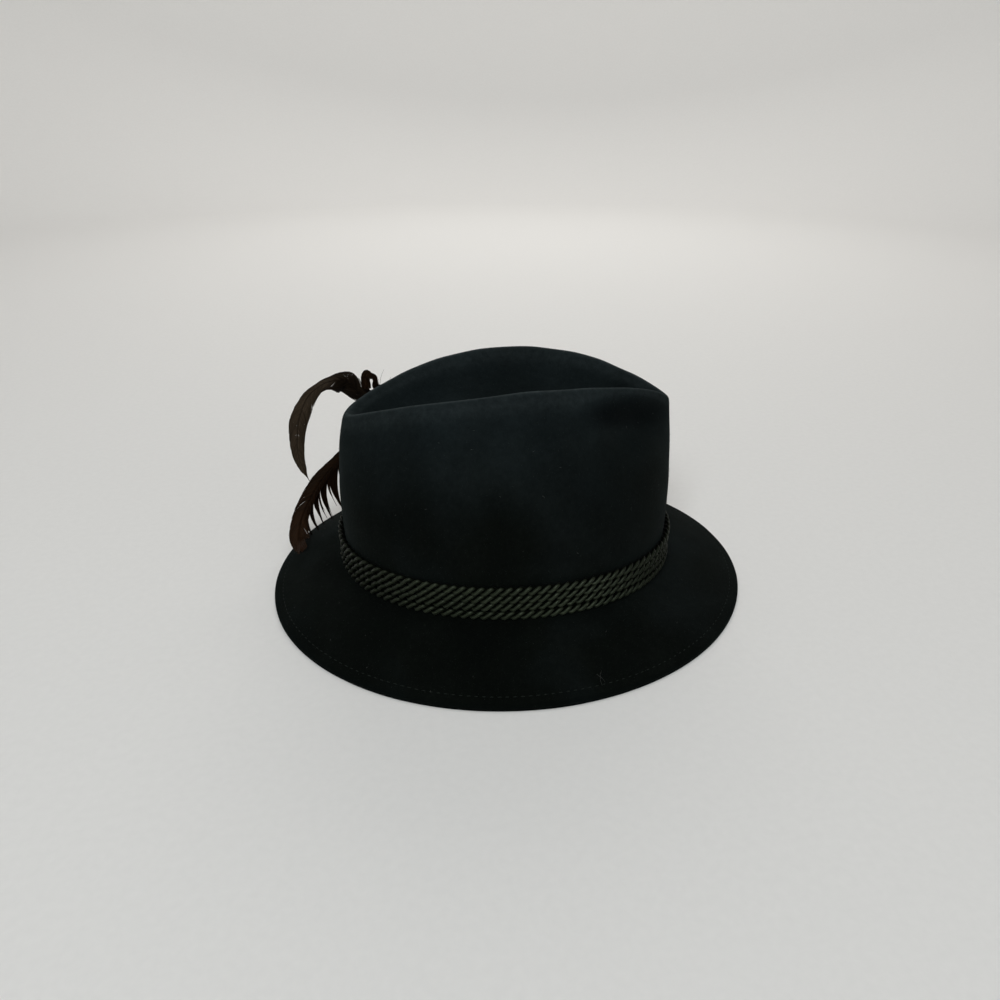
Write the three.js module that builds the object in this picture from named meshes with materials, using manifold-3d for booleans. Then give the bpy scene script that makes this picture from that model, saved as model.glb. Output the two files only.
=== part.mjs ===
// A tyrolean hat: a felt hood with a creased crown and a turned down brim, four rows of twisted cord
// round the foot of the crown, and a plume of cock feathers on the wearer's left.
// Millimetres, +Z up. The origin is on the table at the middle of the rim, +X is the hat's front and
// +Y the wearer's left.

import * as THREE from 'three';
import { mergeVertices } from 'three/addons/utils/BufferGeometryUtils.js';
import Module from 'manifold-3d';

// Felt and brim
const feltThickness = 2.5;
const rimHalfLength = 145.8;
const rimHalfWidth = 129;
const restWidth = 2.2;
const brimBow = 1.2;

// Foot of the crown, where the brim breaks away
const crownHalfLength = 97.1;
const crownHalfWidth = 82.8;
const crownShift = -1.7;
const footHeight = 21;
const footTilt = 2;
const footSwell = 2.2;
const footRounding = 4.5;

// Crown wall
const wallBulge = 2.6;
const wallCurve = 1.9;

// Ridges: two edges that meet at the front and rear corners of the crown
const ridgeHalfLength = 94.8;
const ridgeHalfWidth = 39.5;
const ridgeShift = 1.2;
const ridgeTopHeight = 136.5;
const ridgeTopAt = 5;
const frontCornerHeight = 115.5;
const rearCornerHeight = 116.5;
const frontArch = 2.35;
const rearArch = 1.85;
const frontGather = 0.74;
const rearGather = 0.26;
const foldRounding = 5;

// Centre crease between the ridges
const creaseDepth = 26;
const creaseHalfLength = 76;
const creaseEndDrop = 2;

// Pinch on each side near the front
const pinchDepth = 7;
const pinchAt = 63;
const pinchHeight = 104;
const pinchHalfLength = 26;
const pinchHalfHeight = 12;

// How far the corners of the felt's inner side move for each millimetre of its thickness
const innerFootDrop = 0.64;
const innerRidgeDrop = 1.5;
const innerRidgeNarrowing = 0.2;
const innerFootBend = 0.6;
const innerFoldBend = 1.2;

// Cords
const cordCount = 4;
const cordHeight = 4.4;
const cordThickness = 3.6;
const cordPitch = 4.7;
const cordClearance = 0.3;
const firstCordRise = 4.2;
const footCrowding = 0.35;

// Plume
const bindingDiameter = 6.4;
const bindingLength = 32;
const bindingAt = -26;
const bindingLean = 32;
const bindingClearance = 0.9;
const plumeLength = 100;
const vaneWidth = 15;
const vaneThickness = 1.3;
const vaneEdge = 0.6;

// How finely the shapes are stepped
const steps = 64;
const cordSides = 8;
const vaneSteps = 16;

// Shares of the brim's width, of the wall's height and of the way from a ridge to the crease, one row each
const brimRows = [0, 0.22, 0.46, 0.7];
const wallRows = [0.16, 0.3, 0.45, 0.58, 0.7, 0.8, 0.89];
const topRows = [0.26, 0.42, 0.6, 0.8];

const materials = {
  felt: new THREE.MeshStandardMaterial({ color: 0x141a19, roughness: 0.95, metalness: 0 }),
  cord: new THREE.MeshStandardMaterial({ color: 0x1f241a, roughness: 0.6, metalness: 0 }),
  feather: new THREE.MeshStandardMaterial({ color: 0x30241c, roughness: 0.7, metalness: 0 }),
};

function mix(a, b, share) {
  return a + (b - a) * share;
}

function mixPoints(a, b, share) {
  return a.clone().lerp(b, share);
}

// A rounded corner: a quadratic curve from one point to another, drawn towards the corner
function roundedPoint(from, corner, to, share) {
  return mixPoints(mixPoints(from, corner, share), mixPoints(corner, to, share), share);
}

// Where the brim's slope and the crown's wall would meet. The foot is lower at the front than at the
// rear, and higher at the sides than at both.
function footPoint(angle, inset) {
  const x = crownShift + (crownHalfLength - inset) * Math.cos(angle);
  const y = (crownHalfWidth - inset) * Math.sin(angle);
  const z = footHeight - footTilt * Math.cos(angle) - footSwell * Math.cos(2 * angle);
  return new THREE.Vector3(x, y, z - innerFootDrop * inset);
}

// The rim is a flat oval. The top edge lies one felt thickness above the table, the lower edge on it.
function rimPoint(angle, inset) {
  const drawnIn = inset > 0 ? restWidth : 0;
  const x = (rimHalfLength - drawnIn) * Math.cos(angle);
  const y = (rimHalfWidth - drawnIn) * Math.sin(angle);
  return new THREE.Vector3(x, y, inset > 0 ? 0 : feltThickness);
}

// Height of the ridges at a place along the hat: an arch that falls to each corner
function ridgeHeight(x) {
  const forward = x > ridgeTopAt;
  const drop = ridgeTopHeight - (forward ? frontCornerHeight : rearCornerHeight);
  const reach = forward ? ridgeHalfLength - ridgeTopAt : ridgeHalfLength + ridgeTopAt;
  return ridgeTopHeight - drop * (Math.abs(x - ridgeTopAt) / reach) ** (forward ? frontArch : rearArch);
}

// The ridges seen from above are a leaf, drawn to a point at the front and rounder at the rear
function ridgePoint(angle, inset) {
  const along = Math.cos(angle);
  const gather = mix(rearGather, frontGather, (1 + along) / 2);
  const x = ridgeShift + (ridgeHalfLength - inset) * along;
  const y = (ridgeHalfWidth - innerRidgeNarrowing * inset) * Math.sin(angle) * (1 - gather * along ** 2);
  return new THREE.Vector3(x, y, ridgeHeight(ridgeHalfLength * along) - innerRidgeDrop * inset);
}

// The bottom of the crease, straight along the hat and a little lower at its ends
function creasePoint(angle, inset) {
  const along = Math.cos(angle);
  const z = ridgeTopHeight - creaseDepth - creaseEndDrop * along ** 2 - inset;
  return new THREE.Vector3(ridgeShift + creaseHalfLength * along, 0, z);
}

// The brim runs from the rim up to the foot with a slight bow
function brimPoint(angle, share, inset) {
  const point = mixPoints(rimPoint(angle, inset), footPoint(angle, inset), share);
  point.z += brimBow * 4 * share * (1 - share);
  return point;
}

// A dent in each side of the crown that fades out along the hat and up and down
function pinched(point) {
  const along = Math.exp(-(((point.x - pinchAt) / pinchHalfLength) ** 2));
  const up = Math.exp(-(((point.z - pinchHeight) / pinchHalfHeight) ** 2));
  const side = Math.tanh(point.y / (0.2 * ridgeHalfWidth));
  point.y -= pinchDepth * along * up * side;
  return point;
}

// The wall starts upright at the foot, swells a little and leans in more and more up to the ridge
function wallPoint(angle, share, inset) {
  const foot = footPoint(angle, inset);
  const ridge = ridgePoint(angle, inset);
  const swell = wallBulge * Math.sin(Math.PI * share);
  const lean = share ** wallCurve;
  const x = mix(foot.x, ridge.x, lean) + swell * Math.cos(angle);
  const y = mix(foot.y, ridge.y, lean) + swell * Math.sin(angle);
  return pinched(new THREE.Vector3(x, y, mix(foot.z, ridge.z, share)));
}

// From the ridge the felt drops into the crease, steeply at first and level at the bottom
function topPoint(angle, share, inset) {
  const ridge = ridgePoint(angle, inset);
  const crease = creasePoint(angle, inset);
  const point = mixPoints(ridge, crease, share);
  point.z = mix(ridge.z, crease.z, 1 - (1 - share) ** 2);
  return point;
}

// One section of a felt surface from the rim to the crease, at one angle round the hat
function feltSection(angle, inset) {
  const foot = footPoint(angle, inset);
  const ridge = ridgePoint(angle, inset);
  const footBend = footRounding + innerFootBend * inset;
  const foldBend = foldRounding - innerFoldBend * inset;
  const brimLength = rimPoint(angle, inset).distanceTo(foot);
  const wallHeight = ridge.z - foot.z;
  const topLength = ridge.distanceTo(creasePoint(angle, inset));
  const brimEnd = brimPoint(angle, 1 - footBend / brimLength, inset);
  const wallStart = wallPoint(angle, footBend / wallHeight, inset);
  const wallEnd = wallPoint(angle, 1 - foldBend / wallHeight, inset);
  const topStart = topPoint(angle, foldBend / topLength, inset);
  const section = brimRows.map((share) => brimPoint(angle, share, inset));
  section.push(brimEnd, roundedPoint(brimEnd, foot, wallStart, 0.5), wallStart);
  section.push(...wallRows.map((share) => wallPoint(angle, share, inset)));
  for (const share of [0, 0.33, 0.67, 1]) {
    section.push(roundedPoint(wallEnd, ridge, topStart, share));
  }
  section.push(...topRows.map((share) => topPoint(angle, share, inset)));
  return section;
}

// Rows of points become one closed surface, with the two sides joined along the crease
function feltBody() {
  const positions = [];
  const triangles = [];
  const addRow = (points) => {
    const first = positions.length / 3;
    points.forEach((point) => positions.push(point.x, point.y, point.z));
    return points.map((point, index) => first + index);
  };
  const addStrip = (lower, upper) => {
    for (let i = 0; i < steps; i += 1) {
      const j = (i + 1) % steps;
      triangles.push(lower[i], lower[j], upper[j]);
      triangles.push(lower[i], upper[j], upper[i]);
    }
  };
  const angles = Array.from({ length: steps }, (_, i) => (2 * Math.PI * i) / steps);
  const surfaceRows = (inset) => {
    const sections = angles.map((angle) => feltSection(angle, inset));
    const rows = sections[0].map((_, level) => addRow(sections.map((section) => section[level])));
    const half = addRow(angles.slice(0, steps / 2 + 1).map((angle) => creasePoint(angle, inset)));
    rows.push(angles.map((_, i) => half[Math.min(i, steps - i)]));
    return rows;
  };
  const upper = surfaceRows(0);
  const lower = surfaceRows(feltThickness);
  const restOuter = addRow(angles.map((angle) => rimPoint(angle, 0).setZ(0)));
  for (let level = 1; level < upper.length; level += 1) {
    addStrip(upper[level - 1], upper[level]);
    addStrip(lower[level], lower[level - 1]);
  }
  addStrip(restOuter, upper[0]);
  addStrip(lower[0], restOuter);
  return bodyFrom(positions, triangles);
}

function bodyFrom(positions, triangles) {
  const geometry = new THREE.BufferGeometry();
  geometry.setAttribute('position', new THREE.Float32BufferAttribute(positions, 3));
  geometry.setIndex(triangles);
  return geometry;
}

// The share of the wall's height that lies a given rise above the foot
function wallShare(angle, rise) {
  return rise / (ridgePoint(angle, 0).z - footPoint(angle, 0).z);
}

// The directions up the wall and straight out of it, at a place on the wall
function wallDirections(angle, share) {
  const step = 0.01;
  const round = wallPoint(angle + step, share, 0).sub(wallPoint(angle - step, share, 0)).normalize();
  const climb = wallPoint(angle, share + step, 0).sub(wallPoint(angle, share - step, 0));
  const facing = round.clone().cross(climb).normalize();
  const up = facing.clone().cross(round);
  return { up, facing };
}

// How far a cord's middle line stands off the wall at a rise above the foot. The lowest cord also
// clears the rounding of the foot.
function cordStandOff(rise) {
  const crowding = Math.max(0, footRounding - (rise - cordHeight / 2));
  return cordThickness / 2 + cordClearance + footCrowding * crowding;
}

// One row of cord: an oval section carried once round the foot of the crown
function cordBody(rise) {
  const positions = [];
  const triangles = [];
  for (let i = 0; i < steps; i += 1) {
    const angle = (2 * Math.PI * i) / steps;
    const share = wallShare(angle, rise);
    const { up, facing } = wallDirections(angle, share);
    const middle = wallPoint(angle, share, 0).addScaledVector(facing, cordStandOff(rise));
    for (let k = 0; k < cordSides; k += 1) {
      const turn = (2 * Math.PI * k) / cordSides;
      const point = middle.clone();
      point.addScaledVector(facing, (cordThickness / 2) * Math.cos(turn));
      point.addScaledVector(up, (cordHeight / 2) * Math.sin(turn));
      positions.push(point.x, point.y, point.z);
    }
  }
  for (let i = 0; i < steps; i += 1) {
    const next = (i + 1) % steps;
    for (let k = 0; k < cordSides; k += 1) {
      const beside = (k + 1) % cordSides;
      const a = i * cordSides + k;
      const b = next * cordSides + k;
      const c = next * cordSides + beside;
      const d = i * cordSides + beside;
      triangles.push(a, b, c);
      triangles.push(a, c, d);
    }
  }
  return bodyFrom(positions, triangles);
}

// Where the quill binding starts and ends: upright against the cords and leaning to the rear
const bindingAngle = Math.acos((bindingAt - crownShift) / crownHalfLength);
const bindingStandOff = cordClearance + cordThickness + bindingClearance + bindingDiameter / 2;
const bindingFoot = (() => {
  const share = wallShare(bindingAngle, firstCordRise);
  const { facing } = wallDirections(bindingAngle, share);
  return wallPoint(bindingAngle, share, 0).addScaledVector(facing, bindingStandOff);
})();
const leanRadians = THREE.MathUtils.degToRad(bindingLean);
const bindingDirection = new THREE.Vector3(-Math.sin(leanRadians), 0, Math.cos(leanRadians));
const bindingHead = bindingFoot.clone().addScaledVector(bindingDirection, bindingLength);

// Feathers. A row for each station along a spine, from the binding to the tip: how far it lies to the
// rear of the binding's head, outwards and up, as shares of the plume's length, the vane's width as a
// share of the widest, and how far the vane is turned about the spine, in degrees.
const feathers = {
  sickle: [
    { back: 0, out: 0, up: -0.08, width: 0.4, turn: 0 },
    { back: 0.09, out: 0.01, up: 0.17, width: 0.5, turn: 0 },
    { back: 0.21, out: 0, up: 0.26, width: 0.7, turn: 0 },
    { back: 0.35, out: -0.04, up: 0.34, width: 0.85, turn: 0 },
    { back: 0.43, out: -0.07, up: 0.41, width: 0.95, turn: 0 },
    { back: 0.49, out: -0.09, up: 0.48, width: 1, turn: 0 },
    { back: 0.58, out: -0.13, up: 0.51, width: 0.95, turn: 45 },
    { back: 0.66, out: -0.18, up: 0.495, width: 0.85, turn: 58 },
    { back: 0.74, out: -0.22, up: 0.44, width: 0.78, turn: 40 },
    { back: 0.78, out: -0.25, up: 0.37, width: 0.8, turn: 20 },
    { back: 0.81, out: -0.28, up: 0.29, width: 0.78, turn: 5 },
    { back: 0.83, out: -0.3, up: 0.17, width: 0.66, turn: 0 },
    { back: 0.83, out: -0.32, up: 0.07, width: 0.52, turn: 0 },
    { back: 0.81, out: -0.33, up: -0.01, width: 0.36, turn: 0 },
    { back: 0.78, out: -0.34, up: -0.1, width: 0.08, turn: 0 },
  ],
  drooping: [
    { back: 0, out: 0, up: -0.08, width: 0.4, turn: 0 },
    { back: 0.17, out: -0.01, up: 0.05, width: 0.6, turn: 0 },
    { back: 0.35, out: -0.07, up: 0.07, width: 0.75, turn: 0 },
    { back: 0.49, out: -0.15, up: 0.035, width: 0.85, turn: 0 },
    { back: 0.61, out: -0.23, up: -0.04, width: 0.95, turn: 0 },
    { back: 0.71, out: -0.29, up: -0.13, width: 1, turn: 0 },
    { back: 0.79, out: -0.35, up: -0.23, width: 1, turn: 0 },
    { back: 0.85, out: -0.41, up: -0.33, width: 1, turn: 0 },
    { back: 0.88, out: -0.5, up: -0.42, width: 0.95, turn: 10 },
    { back: 0.87, out: -0.62, up: -0.45, width: 0.75, turn: 24 },
  ],
  peak: [
    { back: 0, out: 0, up: -0.08, width: 0.3, turn: 0 },
    { back: 0.07, out: 0.02, up: 0.21, width: 0.3, turn: 0 },
    { back: 0.19, out: -0.01, up: 0.37, width: 0.3, turn: 0 },
    { back: 0.28, out: -0.09, up: 0.46, width: 0.28, turn: 0 },
    { back: 0.3, out: -0.1, up: 0.52, width: 0.26, turn: 0 },
    { back: 0.34, out: -0.1, up: 0.545, width: 0.26, turn: 0 },
    { back: 0.37, out: -0.09, up: 0.52, width: 0.24, turn: 0 },
    { back: 0.38, out: -0.085, up: 0.46, width: 0.2, turn: 0 },
  ],
  left_low: [
    { back: 0, out: 0, up: -0.08, width: 0.35, turn: 0 },
    { back: 0.16, out: 0.06, up: -0.01, width: 0.7, turn: 0 },
    { back: 0.34, out: 0.06, up: -0.06, width: 0.65, turn: 0 },
    { back: 0.48, out: 0, up: -0.14, width: 0.2, turn: 0 },
  ],
  left_middle: [
    { back: 0, out: 0, up: -0.08, width: 0.35, turn: 0 },
    { back: 0.14, out: 0.07, up: 0.1, width: 0.8, turn: 0 },
    { back: 0.3, out: 0.08, up: 0.19, width: 0.75, turn: 0 },
    { back: 0.44, out: 0.04, up: 0.22, width: 0.2, turn: 0 },
  ],
  left_high: [
    { back: 0, out: 0, up: -0.08, width: 0.35, turn: 0 },
    { back: 0.05, out: 0.06, up: 0.16, width: 0.8, turn: 0 },
    { back: 0.14, out: 0.08, up: 0.31, width: 0.75, turn: 0 },
    { back: 0.26, out: 0.05, up: 0.39, width: 0.2, turn: 0 },
  ],
};

// One of a feather's columns, read at a share of the way through its stations
function readColumn(stations, column, share) {
  const place = share * (stations.length - 1);
  const before = Math.min(Math.floor(place), stations.length - 2);
  return mix(stations[before][column], stations[before + 1][column], place - before);
}

// One feather: a thin strip, thicker along its shaft, carried along its spine
function featherBody(stations) {
  const points = stations.map(({ back, out, up }) => {
    return new THREE.Vector3(-back, out, up).multiplyScalar(plumeLength).add(bindingHead);
  });
  const curve = new THREE.CatmullRomCurve3(points, false, 'centripetal');
  const positions = [];
  const triangles = [];
  for (let i = 0; i <= vaneSteps; i += 1) {
    const share = i / vaneSteps;
    const middle = curve.getPoint(share);
    const along = curve.getTangent(share);
    const across = new THREE.Vector3(0, 1, 0).cross(along).normalize();
    across.applyAxisAngle(along, THREE.MathUtils.degToRad(readColumn(stations, 'turn', share)));
    const thick = along.clone().cross(across).normalize();
    const halfWidth = (vaneWidth * readColumn(stations, 'width', share)) / 2;
    const corners = [
      [1, vaneEdge], [0, vaneThickness], [-1, vaneEdge],
      [-1, -vaneEdge], [0, -vaneThickness], [1, -vaneEdge],
    ];
    for (const [side, height] of corners) {
      const point = middle.clone().addScaledVector(across, side * halfWidth);
      point.addScaledVector(thick, height / 2);
      positions.push(point.x, point.y, point.z);
    }
  }
  for (let i = 0; i < vaneSteps; i += 1) {
    for (let k = 0; k < 6; k += 1) {
      const a = 6 * i + k;
      const b = 6 * i + ((k + 1) % 6);
      triangles.push(a, b, b + 6);
      triangles.push(a, b + 6, a + 6);
    }
  }
  const last = 6 * vaneSteps;
  for (let k = 1; k < 5; k += 1) {
    triangles.push(0, k + 1, k);
    triangles.push(last, last + k, last + k + 1);
  }
  return bodyFrom(positions, triangles);
}

// The wrapped quills: a round tapered binding
function bindingBody() {
  const radius = bindingDiameter / 2;
  const profile = [[0, 0], [0.6, 0], [0.85, 0.06], [1, 0.3], [1, 0.75], [0.8, 0.97], [0.6, 1], [0, 1]];
  const points = profile.map(([r, h]) => new THREE.Vector2(r * radius, h * bindingLength));
  const geometry = new THREE.LatheGeometry(points, 12);
  const turn = new THREE.Quaternion().setFromUnitVectors(new THREE.Vector3(0, 1, 0), bindingDirection);
  geometry.applyQuaternion(turn);
  geometry.translate(bindingFoot.x, bindingFoot.y, bindingFoot.z);
  return geometry;
}

const wasm = await Module();
wasm.setup();

// A closed geometry as a solid that can be joined
function solidFrom(geometry) {
  const bare = geometry.clone();
  bare.deleteAttribute('normal');
  bare.deleteAttribute('uv');
  const merged = mergeVertices(bare, 1e-4);
  const mesh = new wasm.Mesh({
    numProp: 3,
    vertProperties: new Float32Array(merged.getAttribute('position').array),
    triVerts: new Uint32Array(merged.getIndex().array),
  });
  return new wasm.Manifold(mesh);
}

function geometryFrom(solid) {
  const mesh = solid.getMesh();
  const geometry = new THREE.BufferGeometry();
  geometry.setAttribute('position', new THREE.BufferAttribute(new Float32Array(mesh.vertProperties), 3));
  geometry.setIndex(new THREE.BufferAttribute(new Uint32Array(mesh.triVerts), 1));
  return geometry;
}

function plumeBody() {
  let plume = solidFrom(bindingBody());
  for (const stations of Object.values(feathers)) {
    plume = plume.add(solidFrom(featherBody(stations)));
  }
  return geometryFrom(plume);
}

function piece(name, geometry, material) {
  geometry.computeVertexNormals();
  const mesh = new THREE.Mesh(geometry, material);
  mesh.name = name;
  return mesh;
}

const hat = new THREE.Group();
hat.add(piece('felt_hood', feltBody(), materials.felt));
for (let row = 0; row < cordCount; row += 1) {
  hat.add(piece(`hat_cord_${row + 1}`, cordBody(firstCordRise + row * cordPitch), materials.cord));
}
hat.add(piece('plume', plumeBody(), materials.feather));

export default hat;
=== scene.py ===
# A tyrolean hat: a blocked felt hood with a creased and pinched crown, four rows of twisted cord round
# its foot and a plume of cock feathers on the wearer's left. Metres, +Z up, +X to the hat's front and
# +Y to the wearer's left. The origin is on the table at the middle of the rim.

import math

import bpy
import numpy as np
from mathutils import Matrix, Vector


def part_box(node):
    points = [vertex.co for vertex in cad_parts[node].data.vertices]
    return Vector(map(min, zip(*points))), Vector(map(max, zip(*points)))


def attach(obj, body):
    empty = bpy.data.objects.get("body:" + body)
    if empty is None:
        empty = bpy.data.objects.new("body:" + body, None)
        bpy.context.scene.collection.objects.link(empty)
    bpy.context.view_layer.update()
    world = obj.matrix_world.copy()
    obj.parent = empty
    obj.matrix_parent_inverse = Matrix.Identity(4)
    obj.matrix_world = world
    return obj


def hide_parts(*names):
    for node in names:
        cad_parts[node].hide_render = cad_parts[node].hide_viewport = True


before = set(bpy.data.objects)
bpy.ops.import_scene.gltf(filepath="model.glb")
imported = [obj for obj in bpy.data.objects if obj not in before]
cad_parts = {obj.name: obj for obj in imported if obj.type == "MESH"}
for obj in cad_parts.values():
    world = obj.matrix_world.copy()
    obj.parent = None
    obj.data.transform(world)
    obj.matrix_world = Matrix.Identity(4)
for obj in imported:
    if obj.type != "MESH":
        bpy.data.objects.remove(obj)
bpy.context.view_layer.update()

hood_low, hood_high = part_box("felt_hood")
MM = 0.001
DRAW = np.random.default_rng(1938)

# Felt and brim. The rim's oval comes from the frame.
FELT_THICKNESS = 2.5 * MM
RIM_HALF_LENGTH = (hood_high.x - hood_low.x) / 2
RIM_HALF_WIDTH = (hood_high.y - hood_low.y) / 2
REST_WIDTH = 2.2 * MM
BRIM_BOW = 1.2 * MM
EDGE_ROUNDING = 1.0 * MM
EDGE_TONE = -0.25
WAVE_HEIGHT = 0.42 * MM

# Foot of the crown, where the brim breaks away
CROWN_HALF_LENGTH = 97.1 * MM
CROWN_HALF_WIDTH = 82.8 * MM
CROWN_SHIFT = -1.7 * MM
FOOT_HEIGHT = 21 * MM
FOOT_TILT = 2 * MM
FOOT_SWELL = 2.2 * MM
FOOT_ROUNDING = 4.5 * MM

# Crown wall
WALL_BULGE = 2.6 * MM
WALL_CURVE = 1.9

# Ridges: two edges that meet at the front and rear corners of the crown
RIDGE_HALF_LENGTH = 94.8 * MM
RIDGE_HALF_WIDTH = 39.5 * MM
RIDGE_SHIFT = 1.2 * MM
RIDGE_TOP_HEIGHT = 136.5 * MM
RIDGE_TOP_AT = 5 * MM
FRONT_CORNER_HEIGHT = 115.5 * MM
REAR_CORNER_HEIGHT = 116.5 * MM
FRONT_ARCH = 2.35
REAR_ARCH = 1.85
FRONT_GATHER = 0.74
REAR_GATHER = 0.26
FOLD_ROUNDING = 4.2 * MM
CORNER_ROUNDING = 3.5 * MM

# Centre crease between the ridges
CREASE_DEPTH = 26 * MM
CREASE_HALF_LENGTH = 76 * MM
CREASE_END_DROP = 2 * MM

# Pinch on each side near the front
PINCH_DEPTH = 7 * MM
PINCH_AT = 63 * MM
PINCH_HEIGHT = 104 * MM
PINCH_HALF_LENGTH = 26 * MM
PINCH_HALF_HEIGHT = 12 * MM

# Tuck under the ridge above each pinch, where the felt rolls over; its colour there is darkened as
# painted shade
TUCK_DEPTH = 2 * MM
TUCK_AT = 63 * MM
TUCK_BELOW_RIDGE = 14.5 * MM
TUCK_HALF_LENGTH = 29 * MM
TUCK_HALF_HEIGHT = 8.5 * MM
TUCK_PAINTED_SHADE = -0.95

# How far the corners of the felt's inner side move for each millimetre of its thickness
INNER_FOOT_DROP = 0.64
INNER_RIDGE_DROP = 1.5
INNER_RIDGE_NARROWING = 0.2
INNER_FOOT_BEND = 0.6
INNER_FOLD_BEND = 1.0

# Cords: two strands twisted round each other in every row
CORD_COUNT = 4
CORD_HEIGHT = 4.4 * MM
CORD_THICKNESS = 3.6 * MM
CORD_PITCH = 4.7 * MM
CORD_CLEARANCE = 0.3 * MM
FIRST_CORD_RISE = 4.2 * MM
FOOT_CROWDING = 0.35
STRAND_TURN = 10.6 * MM
STRAND_OUT = 1.9 * MM
STRAND_UP = 2.2 * MM
STRAND_CLIMB = 1.65 * MM
CORE_OUT = 1.7 * MM
CORE_UP = 3.6 * MM
CORE_SINK = 0.7 * MM
ROW_LEAN = 0.45
YARNS_IN_STRAND = 6
YARN_RELIEF = 0.12 * MM
YARN_TURN = 7 * MM

# Plume
BINDING_DIAMETER = 6.4 * MM
BINDING_LENGTH = 32 * MM
BINDING_AT = -26 * MM
BINDING_LEAN = math.radians(32)
BINDING_CLEARANCE = 0.9 * MM
THREAD_PITCH = 0.9 * MM
THREAD_RELIEF = 0.16 * MM
PLUME_LENGTH = 100 * MM
VANE_WIDTH = 15 * MM
VANE_START = 0.06

# Stitched line near the brim's edge
STITCH_INSET = 5.6 * MM
STITCH_LENGTH = 2.6 * MM
STITCH_SPACING = 3.9 * MM
STITCH_THICKNESS = 0.42 * MM
STITCH_RISE = 0.2 * MM
GROOVE_WIDTH = 0.9 * MM
GROOVE_DEPTH = 0.25 * MM

# Loose fibres on the felt
NAP_COUNT = 30000
NAP_THICKNESS = 0.045 * MM
NAP_SUNK = 0.05 * MM
LINT_COUNT = 90
LINT_THICKNESS = 0.1 * MM

# How finely the surfaces are stepped. The felt's rows are those of the brim, the foot's corner, the
# wall, the ridge's corner and the top.
FELT_COLUMNS = 400
OUTER_ROWS = (40, 9, 58, 11, 30)
INNER_ROWS = (10, 5, 22, 6, 10)
CORD_SAMPLES = 900
STRAND_SIDES = 18
BARB_SAMPLES = 9
BARB_SIDES = 4


# Meshes

def grid_faces(rows, columns, first=0, close_rows=False, close_columns=True):
    """Quads of a grid of points that is stored row by row. A closed direction joins its last line to its
    first. Also the two shares of each quad's corners, which run on past the seam."""
    r = np.arange(rows if close_rows else rows - 1)[:, None]
    c = np.arange(columns if close_columns else columns - 1)[None, :]
    r, c = (a.ravel() for a in np.broadcast_arrays(r, c))
    corner_rows = np.stack([r, r, r + 1, r + 1], axis=1)
    corner_columns = np.stack([c, c + 1, c + 1, c], axis=1)
    faces = first + (corner_rows % rows) * columns + corner_columns % columns
    shares = np.stack([corner_columns / columns, corner_rows / rows], axis=2)
    return faces, shares


def add_piece(name, points, faces, material, uv=None, tones=None, replaces=()):
    """A mesh object from an array of points and a list of face arrays, each with one number of corners.
    uv holds the two shares of every face corner and tones one number for every point."""
    corners = np.concatenate([np.asarray(f).ravel() for f in faces]).astype(np.int32)
    sizes = np.concatenate([np.full(len(f), np.shape(f)[1]) for f in faces])
    mesh = bpy.data.meshes.new(name)
    mesh.vertices.add(len(points))
    mesh.vertices.foreach_set("co", np.asarray(points, np.float32).ravel())
    mesh.loops.add(len(corners))
    mesh.loops.foreach_set("vertex_index", corners)
    mesh.polygons.add(len(sizes))
    mesh.polygons.foreach_set("loop_start", (np.cumsum(sizes) - sizes).astype(np.int32))
    if uv is not None:
        layer = mesh.uv_layers.new(name="UVMap")
        layer.data.foreach_set("uv", np.asarray(uv, np.float32).ravel())
    if tones is not None:
        layer = mesh.attributes.new("tone", "FLOAT", "POINT")
        layer.data.foreach_set("value", np.asarray(tones, np.float32).ravel())
    mesh.update(calc_edges=True)
    mesh.validate()
    mesh.shade_smooth()
    mesh.materials.append(material)
    piece = bpy.data.objects.new(name, mesh)
    bpy.context.scene.collection.objects.link(piece)
    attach(piece, "root")
    if replaces:
        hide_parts(*replaces)
    return piece


def unit(vectors):
    """Vectors brought to length one."""
    return vectors / np.maximum(np.linalg.norm(vectors, axis=-1, keepdims=True), 1e-12)


def mix(a, b, share):
    return a + (b - a) * share


def stack(x, y, z):
    """Three arrays of coordinates as one array of points."""
    return np.stack(np.broadcast_arrays(x, y, z), axis=-1)


def tubes(paths, across, upward, widths, heights, sides):
    """Closed tubes along many paths at once. Round each path's point runs an oval: across times the
    cosine and upward times the sine of the angle round it. paths, across and upward are (tubes, samples,
    3), widths and heights the full sizes of the oval, (tubes, samples, 1) or with one number for each
    side. Each end closes on one point."""
    count, samples = paths.shape[:2]
    turn = 2 * np.pi * np.arange(sides) / sides
    ring = (across[:, :, None] * (widths / 2 * np.cos(turn))[..., None]
            + upward[:, :, None] * (heights / 2 * np.sin(turn))[..., None])
    skin = paths[:, :, None] + ring
    points = np.concatenate([skin.reshape(-1, 3), paths[:, 0], paths[:, -1]])
    body, _ = grid_faces(samples, sides)
    start = samples * sides * np.arange(count)[:, None]
    quads = (start[..., None] + body).reshape(-1, 4)
    side = np.arange(sides)
    beside = (side + 1) % sides
    tail = start + (samples - 1) * sides
    pole = count * samples * sides + np.arange(count)[:, None]
    heads = stack(pole, start + beside, start + side)
    tails = stack(pole + count, tail + side, tail + beside)
    return points, [quads, np.concatenate([heads.reshape(-1, 3), tails.reshape(-1, 3)])]


def along_line(line, samples):
    """For a curve's points and the samples they were taken at: a function from a length along the
    curve to the sample there, and the whole length."""
    length = np.concatenate([[0], np.cumsum(np.linalg.norm(np.diff(line, axis=0), axis=1))])
    return lambda place: np.interp(place, length, samples), length[-1]


# The felt's surface

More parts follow.
